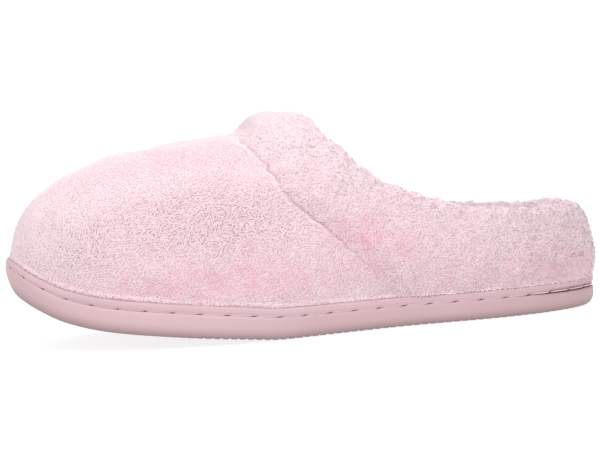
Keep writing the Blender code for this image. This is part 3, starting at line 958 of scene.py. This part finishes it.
def patch_share(points, patches):
    """The largest share that any of the patches has at each point."""
    share = np.zeros(points.shape[:-1])
    for patch in patches:
        x = (points[..., 0] - patch.x + SOLE_LENGTH / 2) / patch.long
        z = (points[..., 2] - patch.z) / patch.high
        there = patch.side * points[..., 1] > 0
        share = np.maximum(share, patch.share * there * np.exp(-x * x - z * z))
    return share


def ruffled(points):
    """How far the pile stands up ruffled, from brushed flat at 0."""
    return np.maximum(patch_share(points, RUFFLES), RUFFLE_LEAST)


def bed_level(points):
    """Least pile height that the material reads, standing for matted fibres between the locks, as a share
    of the pile: lower where the pile is ruffled, so that more painted shade shows there.
    """
    return MATTED_LEVEL * (1 - ruffled(points))


def matted(roots, upright, flat):
    """The bed level at each root, raised where the pile is pressed flat, and raised where the cloth faces
    up, which paints the top paler, with less painted shade, as the light falls from above.
    """
    return bed_level(roots) + 0.20 * on_top(upright) + 0.07 * flat


def seam_shown(points):
    """How far the seam shows: from below the throat down to where the pile hides it."""
    height = points[..., 2]
    shows = soft_step((height - SEAM_SHOWS_FROM) / SEAM_SHOWS_RUN)
    return shows * (1 - soft_step((height - SEAM_LOST_FROM) / SEAM_LOST_RUN))


def parted(points):
    """How far the pile is pressed down and turned to its deeper pink: in the patches, of which the long
    bands low on the wall are painted shade, and along the seam."""
    flat = patch_share(points, PARTINGS) * np.clip(1 + 0.3 * ripple(points, 0.008, 27), 0, 1.5)
    sewn = seam_shown(points) * np.clip(0.8 + 0.5 * ripple(points, 0.006, 28), 0, 1)
    return np.maximum(flat, sewn * np.exp(-((behind_seam(points) / SEAM_CREASE) ** 2)))


def thinned(roots, upright, spacing, rng):
    """Which roots to keep so that locks stand further apart along the lie of the pile than across it.
    On the toe and the back of the heel, which face along the lie, the pile lies straight down."""
    kept = np.zeros(len(roots), bool)
    ends = np.abs(upright @ PILE_LIE) > FACES_ALONG_LIE
    for zone, along in ((ends, np.array([0.0, 0.0, 1.0])), (~ends, PILE_LIE)):
        there = roots[zone]
        squeezed = there - (there @ along)[:, None] * along * (1 - 1 / STROKE)
        kept[zone] = spaced(squeezed, spacing, rng)
    return kept


def lie(upright):
    """Direction along the cloth in which the brush left the pile: forward and down."""
    return unit(PILE_LIE - upright * (upright @ PILE_LIE)[:, None])


def ground_depth(form, shares):
    """Depth under the form of the cloth that the pile stands on, with the creases and the slow
    unevenness of stuffed cloth. At the hem the cloth comes out to meet the band."""
    from_hem = soft_step(shares / HEM_SHARE)
    depth = PILE_DEPTH * (0.4 + 0.6 * from_hem) + creased(form, CREASES)
    depth += SEAM_PULL * seam_shown(form) * np.exp(-((behind_seam(form) / (2 * SEAM_CREASE)) ** 2))
    return depth - SLOW_UNEVEN * ripple(form, SLOW_UNEVEN_LENGTH, 21) * from_hem


def vamp_surface(angles, shares):
    """Cloth of the upper, stepped in under the cuff."""
    form = form_lines(angles, shares)
    outward, _ = form_directions(angles, shares)
    depth = cuff_depth(form, shares) + ground_depth(form, shares)
    return form - outward * depth[..., None], outward


def wisps(name, roots, upright, longest, rng, material):
    """Fine locks that the brush has raised, which fray the outline."""
    count = len(roots)
    lean = combed(upright, lie(upright), rng.normal(0, 0.4, count))
    rise = rng.uniform(0.5, 1.6, count)[:, None]
    along = unit(lean + upright * rise)
    back = unit(upright - lean * rise)
    return locks(
        name, roots + upright * 0.0004, back, along, rng.uniform(0.5, 1.0, count) * longest,
        rng.uniform(0.00036, 0.00056, count), rng.uniform(0.0001, 0.0002, count) + 0.00015,
        np.full(count, 1.0), np.full(count, 0.3), back, rng, material,
    )


def make_upper():
    angles = loop_angles(WALL_COLUMNS)
    seam = np.clip(seam_shares(angles), 0.3, 0.9)[:, None]
    below = np.linspace(0, 1, 37)[None, :-1] * seam
    above = seam + np.linspace(0, 1, 15)[None, :] * (1 - seam)
    shares = np.concatenate([below, above], axis=1)
    outside, outward = vamp_surface(angles, shares)
    form = form_lines(angles, shares)
    inside = form - outward * (cuff_depth(form, shares) + WALL)[..., None]
    inside[:, 0, 2] = form[:, 0, 2] - HEM_DROP
    outside[:, 0, 2] = inside[:, 0, 2]
    inside = np.concatenate([inside[:, :0:-3], inside[:, :1]], axis=1)
    rings = np.concatenate([outside, inside], axis=1).transpose(1, 0, 2)
    faces = ring_faces(len(rings), WALL_COLUMNS, True)
    height = bed_level(rings)
    height[outside.shape[1] :] = 0.10
    ground = {"pile_height": height, "pile_tone": 1 - parted(rings)}
    piece = solid("terry_upper", rings, faces, terry_cloth, 60, ground)
    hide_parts("upper")

    rng = np.random.default_rng(23)
    fine = loop_angles(900)
    crossing = seam_shares(fine)
    front = crossing > 0
    fine, crossing = fine[front], crossing[front]
    shares = np.linspace(0, 1, 140)[None, :] * crossing[:, None]
    grid, _ = vamp_surface(fine, shares)
    roots, upright, _ = scatter(grid, False, LOCKS_PER_MM2, np.ones(grid.shape[:2]), rng)
    kept = thinned(roots, upright, VAMP_SPACING, rng)
    roots, upright = roots[kept], upright[kept]
    count = len(roots)
    flat = parted(roots)
    swing = 0.3 * ripple(roots, 0.012, 24) + rng.normal(0, 0.3, count)
    lean = combed(upright, lie(upright), swing)
    height = VAMP_HEIGHT + RUFFLE_HEIGHT * ruffled(roots) + rng.normal(0, VAMP_HEIGHT_SPREAD, count)
    height *= (1 - PRESSED * flat) * (1 - 0.5 * on_top(upright))
    length = rng.uniform(*VAMP_LENGTH, count)
    width = rng.uniform(*VAMP_WIDTH, count)
    tone = np.clip(rng.normal(0.95, 0.06, count), 0.3, 1.0) * (1 - flat)
    bed = matted(roots, upright, flat)
    for name, half in (("vamp_pile_outer", roots[:, 1] > 0), ("vamp_pile_inner", roots[:, 1] <= 0)):
        pile = locks(
            name, roots[half], upright[half], lean[half], length[half], width[half], height[half],
            tone[half], bed[half], upright[half], rng, terry_cloth,
        )
    loose = rng.uniform(size=count) < VAMP_LOOSE * (1 - on_top(upright))
    pile = wisps("vamp_wisps", roots[loose], upright[loose], VAMP_WISP, rng, terry_cloth)

    # The lining is brushed as well, but lower and closer, and it shows inside below the cuff.
    rng = np.random.default_rng(25)
    fine = loop_angles(600)
    shares = np.tile(np.linspace(0.10, 0.95, 60), (600, 1))
    form = form_lines(fine, shares)
    outward, _ = form_directions(fine, shares)
    grid = form - outward * (cuff_depth(form, shares) + WALL)[..., None]
    roots, upright, _ = scatter(grid, True, LINING_PER_MM2, np.ones(grid.shape[:2]), rng)
    kept = spaced(roots, LINING_SPACING, rng) & (roots[:, 0] < LINING_FRONT)
    roots, upright = roots[kept], -upright[kept]
    count = len(roots)
    pile = locks(
        "lining_pile", roots, upright, combed(upright, lie(upright), rng.normal(0, 0.6, count)),
        rng.uniform(*LINING_LENGTH, count), rng.uniform(*LINING_WIDTH, count),
        rng.uniform(*LINING_HEIGHT, count), np.full(count, 0.9), np.full(count, 0.09), upright, rng,
        terry_cloth,
    )

    # The lowest locks splay out over the band's top edge as a ragged fringe. Their tone is set low, a
    # painted shade that keeps them pinker and darker than the locks above, where they tilt up into the
    # light.
    rng = np.random.default_rng(26)
    count = FRINGE_LOCKS
    around = loop_angles(count) + rng.uniform(-0.004, 0.004, count)
    outward, climb = form_directions(around, np.full((count, 1), 0.004))
    roots = form_lines(around, rng.uniform(0.004, 0.016, (count, 1)))[:, 0] - outward[:, 0] * 0.0002
    splay = (rng.uniform(*FRINGE_SPLAY, count) + 0.2 * near_heel(around))[:, None]
    lean = unit(-climb[:, 0] + outward[:, 0] * splay)
    upright = unit(outward[:, 0] + climb[:, 0] * splay)
    pile = locks(
        "hem_fringe", roots, upright, lean,
        rng.uniform(*FRINGE_LENGTH, count) * (1 + 0.9 * near_heel(around)),
        rng.uniform(*FRINGE_WIDTH, count) * (1 - 0.3 * near_heel(around)),
        rng.uniform(*FRINGE_HEIGHT, count),
        np.clip(rng.normal(0.65, 0.2, count), 0.1, 1.0), np.full(count, 0.1), outward[:, 0], rng,
        terry_cloth,
    )


make_upper()

# Cuff. Terry over soft wadding, sewn to the vamp along the slanting seam, rolled over the collar and
# turned down inside. It is fullest over the instep and thins towards the heel.
CUFF_COLUMNS = 480
CUFF_ROWS = 40
ROLL_STEPS = 16
LINING_ROWS = 12
CUFF_LINING = 0.0030
CUFF_TURN_DOWN = 0.016
CUFF_UNEVEN = 0.0002
CUFF_UNEVEN_LENGTH = 0.020
ROLL_TUFTS = 0.0003
ROLL_TUFT_LENGTH = 0.006
ROLL_TUFT_ROWS = 10
SEAM_EDGE_TUCK = 0.0002

# The cuff's pile, which is a little longer and more ruffled than the vamp's, and shorter at the seam.
CUFF_SPACING = 0.00042
COLLAR_SPACING = 0.00048
CUFF_PILE_LENGTH = (0.0014, 0.0024)
CUFF_PILE_WIDTH = (0.00060, 0.00088)
CUFF_PILE_HEIGHT = 0.00055
CUFF_PILE_SPREAD = 0.00008
SEAM_CLIPPED = 0.4
SEAM_CLIPPED_RUN = 0.0016
CUFF_LOOSE = 0.13
CUFF_WISP = 0.0023

# Low swells and pinches of the stuffed collar, as they show from the side.
COLLAR_SWELLS = [
    Crease("throat_swell", 1, 0.151, 0.0905, 0.149, 0.0920, 0.0070, -0.0008),
    Crease("inner_throat_swell", -1, 0.151, 0.0905, 0.149, 0.0920, 0.0070, -0.0008),
    Crease("crown_swell", 1, 0.144, 0.0940, 0.137, 0.0940, 0.0060, -0.0010),
    Crease("inner_crown_swell", -1, 0.144, 0.0940, 0.137, 0.0940, 0.0060, -0.0010),
    Crease("shoulder_swell", 1, 0.127, 0.0850, 0.119, 0.0775, 0.0050, -0.0013),
    Crease("inner_shoulder_swell", -1, 0.127, 0.0850, 0.119, 0.0775, 0.0050, -0.0013),
    Crease("side_pinch", 1, 0.111, 0.0720, 0.102, 0.0640, 0.0050, 0.0011),
    Crease("inner_side_pinch", -1, 0.111, 0.0720, 0.102, 0.0640, 0.0050, 0.0011),
    Crease("heel_pinch", 1, 0.010, 0.0455, 0.005, 0.0440, 0.0040, 0.0009),
    Crease("inner_heel_swell", -1, 0.018, 0.0460, 0.007, 0.0455, 0.0050, -0.0010),
]


def shares_below_rim(angles, distances):
    """Shares of the points that lie these distances down each column's line from the collar."""
    steps = np.linspace(1, 0, 201)
    line = form_lines(angles, np.tile(steps, (len(angles), 1)))
    pieces = np.linalg.norm(np.diff(line, axis=1), axis=2)
    travelled = np.pad(np.cumsum(pieces, axis=1), ((0, 0), (1, 0)))
    return np.array([np.interp(distances, row, steps) for row in travelled])


def cuff_rings(angles):
    """Rings of the cuff from its seam edge up the outside, over the roll and down inside, and then
    back along the faces that lie on the upper."""
    seam = seam_shares(angles)[:, None]
    shares = seam + (1 - seam) * np.linspace(0, 1, CUFF_ROWS + 1)[None, :]
    form = form_lines(angles, shares)
    outward, climb = form_directions(angles, shares)
    depth = cuff_depth(form, shares)[..., None]
    puff = on_loop([[p.puff] for p in WALL_LINES], angles)
    rise = (puff * soft_step(behind_seam(form) / SEAM_RUN))[..., None]
    ground = ground_depth(form, np.maximum(shares, HEM_SHARE * (seam > 0)))[..., None]
    outer = form + outward * (rise - ground)
    under = form - outward * (depth - FIT_GAP)

    turned = shares_below_rim(angles, np.linspace(0, CUFF_TURN_DOWN, LINING_ROWS + 1))
    turned_form = form_lines(angles, turned)
    turned_out, _ = form_directions(angles, turned)
    wall_inside = cuff_depth(turned_form, turned)[..., None] + WALL
    lining_face = wall_inside + FIT_GAP + CUFF_LINING - PILE_DEPTH
    lining = turned_form - turned_out * lining_face
    backing = turned_form - turned_out * (wall_inside + FIT_GAP)

    rim_out, rim_up = outward[:, -1], climb[:, -1]
    radius = (rise[:, -1] - ground[:, -1] + lining_face[:, 0]) / 2
    centre = outer[:, -1] - rim_out * radius
    roll = []
    for k in range(1, ROLL_STEPS):
        turn = math.pi * k / ROLL_STEPS
        roll.append(centre + (rim_out * math.cos(turn) + rim_up * math.sin(turn)) * radius)
    edge = form[:, :1] - outward[:, :1] * (depth[:, :1] + ground[:, :1] + SEAM_EDGE_TUCK)
    face = np.concatenate([edge, outer, np.stack(roll, 1), lining], axis=1)
    climb_face = np.gradient(face, axis=1)
    around = np.roll(face, -1, 0) - np.roll(face, 1, 0)
    on_roll = soft_step((np.arange(face.shape[1]) - CUFF_ROWS + ROLL_TUFT_ROWS) / ROLL_TUFT_ROWS)
    swell = CUFF_UNEVEN * ripple(face, CUFF_UNEVEN_LENGTH, 31) - creased(face, COLLAR_SWELLS)
    swell += ROLL_TUFTS * ripple(face, ROLL_TUFT_LENGTH, 32) * on_roll
    swell *= soft_step(behind_seam(face) / SEAM_RUN)
    swell[:, :2] = 0
    face = face + unit(np.cross(climb_face, around)) * swell[..., None]
    backing[:, 0] += rim_up * FIT_GAP
    under[:, -1] += rim_up * FIT_GAP
    return face, np.concatenate([backing[:, ::-1], under[:, :0:-4]], axis=1)


def make_cuff():
    angles = loop_angles(CUFF_COLUMNS)
    face, back = cuff_rings(angles)
    rings = np.concatenate([face, back], axis=1).transpose(1, 0, 2)
    faces = ring_faces(len(rings), CUFF_COLUMNS, True)
    ground = {"pile_height": bed_level(rings), "pile_tone": 1 - parted(rings)}
    piece = solid("padded_cuff", rings, faces, terry_cloth, 60, ground)
    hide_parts("cuff")

    face, _ = cuff_rings(loop_angles(900))
    split = CUFF_ROWS + 6
    for name, part, spacing, seed in (
        ("cuff", face[:, 1 : split + 1], CUFF_SPACING, 33),
        ("collar", face[:, split:], COLLAR_SPACING, 34),
    ):
        rng = np.random.default_rng(seed)
        roots, upright, _ = scatter(part, True, LOCKS_PER_MM2, np.ones(part.shape[:2]), rng)
        kept = thinned(roots, upright, spacing, rng)
        roots, upright = roots[kept], upright[kept]
        count = len(roots)
        flat = parted(roots)
        swing = 0.22 * ripple(roots, 0.013, seed + 2) + rng.normal(0, 0.3, count)
        lean = combed(upright, lie(upright), swing)
        height = CUFF_PILE_HEIGHT + RUFFLE_HEIGHT * ruffled(roots)
        height += rng.normal(0, CUFF_PILE_SPREAD, count)
        height *= (1 - PRESSED * flat) * (1 - 0.4 * on_top(upright))
        at_seam = np.exp(-((behind_seam(roots) / SEAM_CLIPPED_RUN) ** 2))
        pile = locks(
            name + "_pile", roots, upright, lean,
            rng.uniform(*CUFF_PILE_LENGTH, count) * (1 - SEAM_CLIPPED * at_seam),
            rng.uniform(*CUFF_PILE_WIDTH, count), height,
            np.clip(rng.normal(0.95, 0.06, count), 0.3, 1.0) * (1 - flat),
            matted(roots, upright, flat), upright, rng, terry_cloth,
        )
        below_crown = 1 - soft_step((roots[:, 2] - 0.080) / 0.008)
        loose = rng.uniform(size=count) < CUFF_LOOSE * below_crown
        pile = wisps(name + "_wisps", roots[loose], upright[loose], CUFF_WISP, rng, terry_cloth)


make_cuff()

# Stage. A sheet of white acrylic lit from below, in a white studio. A broad bank of lights hangs high to
# the left on the camera's side, and a small gridded softbox high to the right. The camera stands at the
# photograph's angle.
FLOOR_HALF_SIZE = 6.0
FLOOR_DROP = 0.0001
FLOOR_GLOW = 0.82
STUDIO_STRENGTH = 1.12
BANK_STRENGTH = 1.08
BANK_SPREAD = math.radians(60)
SOFTBOX_POWER = 0.175
SOFTBOX_SIZE = 0.3
SOFTBOX_SPREAD = math.radians(34)
SOFTBOX_AIM_LEFT = 0.08
CAMERA_AIM = Vector((0.00185, 0.0, 0.0446))
CAMERA_DISTANCE = 1.0
CAMERA_YAW = math.radians(13)
CAMERA_ELEVATION = math.radians(4)
CAMERA_ROLL = math.radians(3.5)
FOCAL_PIXELS = 2277
PHOTO_WIDTH = 600


def make_stage():
    bm = bmesh.new()
    bmesh.ops.create_grid(bm, x_segments=1, y_segments=1, size=FLOOR_HALF_SIZE)
    mesh = bpy.data.meshes.new("studio_floor")
    bm.to_mesh(mesh)
    bm.free()
    floor = bpy.data.objects.new("studio_floor", mesh)
    floor.location.z = -FLOOR_DROP
    bpy.context.scene.collection.objects.link(floor)
    # Frosted acrylic with light behind it: an even white without a horizon, and only a faint shadow.
    material, _, shader = new_material(
        "backlit_white_acrylic", {"Roughness": 0.9, "Emission Strength": FLOOR_GLOW}
    )
    shader.inputs["Base Color"].default_value = linear("#747474")
    shader.inputs["Emission Color"].default_value = linear("#FFFFFF")
    mesh.materials.append(material)

    world = bpy.data.worlds.new("white_studio")
    world.use_nodes = True
    world.node_tree.nodes["Background"].inputs["Color"].default_value = linear("#FFFFFF")
    world.node_tree.nodes["Background"].inputs["Strength"].default_value = STUDIO_STRENGTH
    bpy.context.scene.world = world

    away = Vector(
        (
            math.sin(CAMERA_YAW) * math.cos(CAMERA_ELEVATION),
            math.cos(CAMERA_YAW) * math.cos(CAMERA_ELEVATION),
            math.sin(CAMERA_ELEVATION),
        )
    )
    level = (-away).cross(Vector((0, 0, 1))).normalized()
    upward = level.cross(-away)
    right = level * math.cos(CAMERA_ROLL) - upward * math.sin(CAMERA_ROLL)
    top = level * math.sin(CAMERA_ROLL) + upward * math.cos(CAMERA_ROLL)
    place = Matrix((right, top, away)).transposed().to_4x4()
    place.translation = CAMERA_AIM + away * CAMERA_DISTANCE
    lens = bpy.data.cameras.new("photo_camera")
    lens.sensor_width = 36.0
    lens.lens = FOCAL_PIXELS / PHOTO_WIDTH * lens.sensor_width
    camera = bpy.data.objects.new("photo_camera", lens)
    camera.matrix_world = place
    bpy.context.scene.collection.objects.link(camera)
    bpy.context.scene.camera = camera
    bpy.context.scene.view_settings.view_transform = "Standard"

    light = bpy.data.lights.new("overhead_bank", "SUN")
    light.energy = BANK_STRENGTH
    light.angle = BANK_SPREAD
    lamp = bpy.data.objects.new("overhead_bank", light)
    lamp.rotation_mode = "QUATERNION"
    lamp.rotation_quaternion = (right * -0.60 + top * 0.50 + away * 0.72).to_track_quat("Z", "Y")
    bpy.context.scene.collection.objects.link(lamp)

    light = bpy.data.lights.new("gridded_softbox", "AREA")
    light.energy = SOFTBOX_POWER
    light.size = SOFTBOX_SIZE
    light.spread = SOFTBOX_SPREAD
    lamp = bpy.data.objects.new("gridded_softbox", light)
    offset = right * 0.45 + top * 0.42 + away * 0.62
    lamp.location = CAMERA_AIM + right * -SOFTBOX_AIM_LEFT + offset
    lamp.rotation_mode = "QUATERNION"
    lamp.rotation_quaternion = offset.to_track_quat("Z", "Y")
    bpy.context.scene.collection.objects.link(lamp)


make_stage()
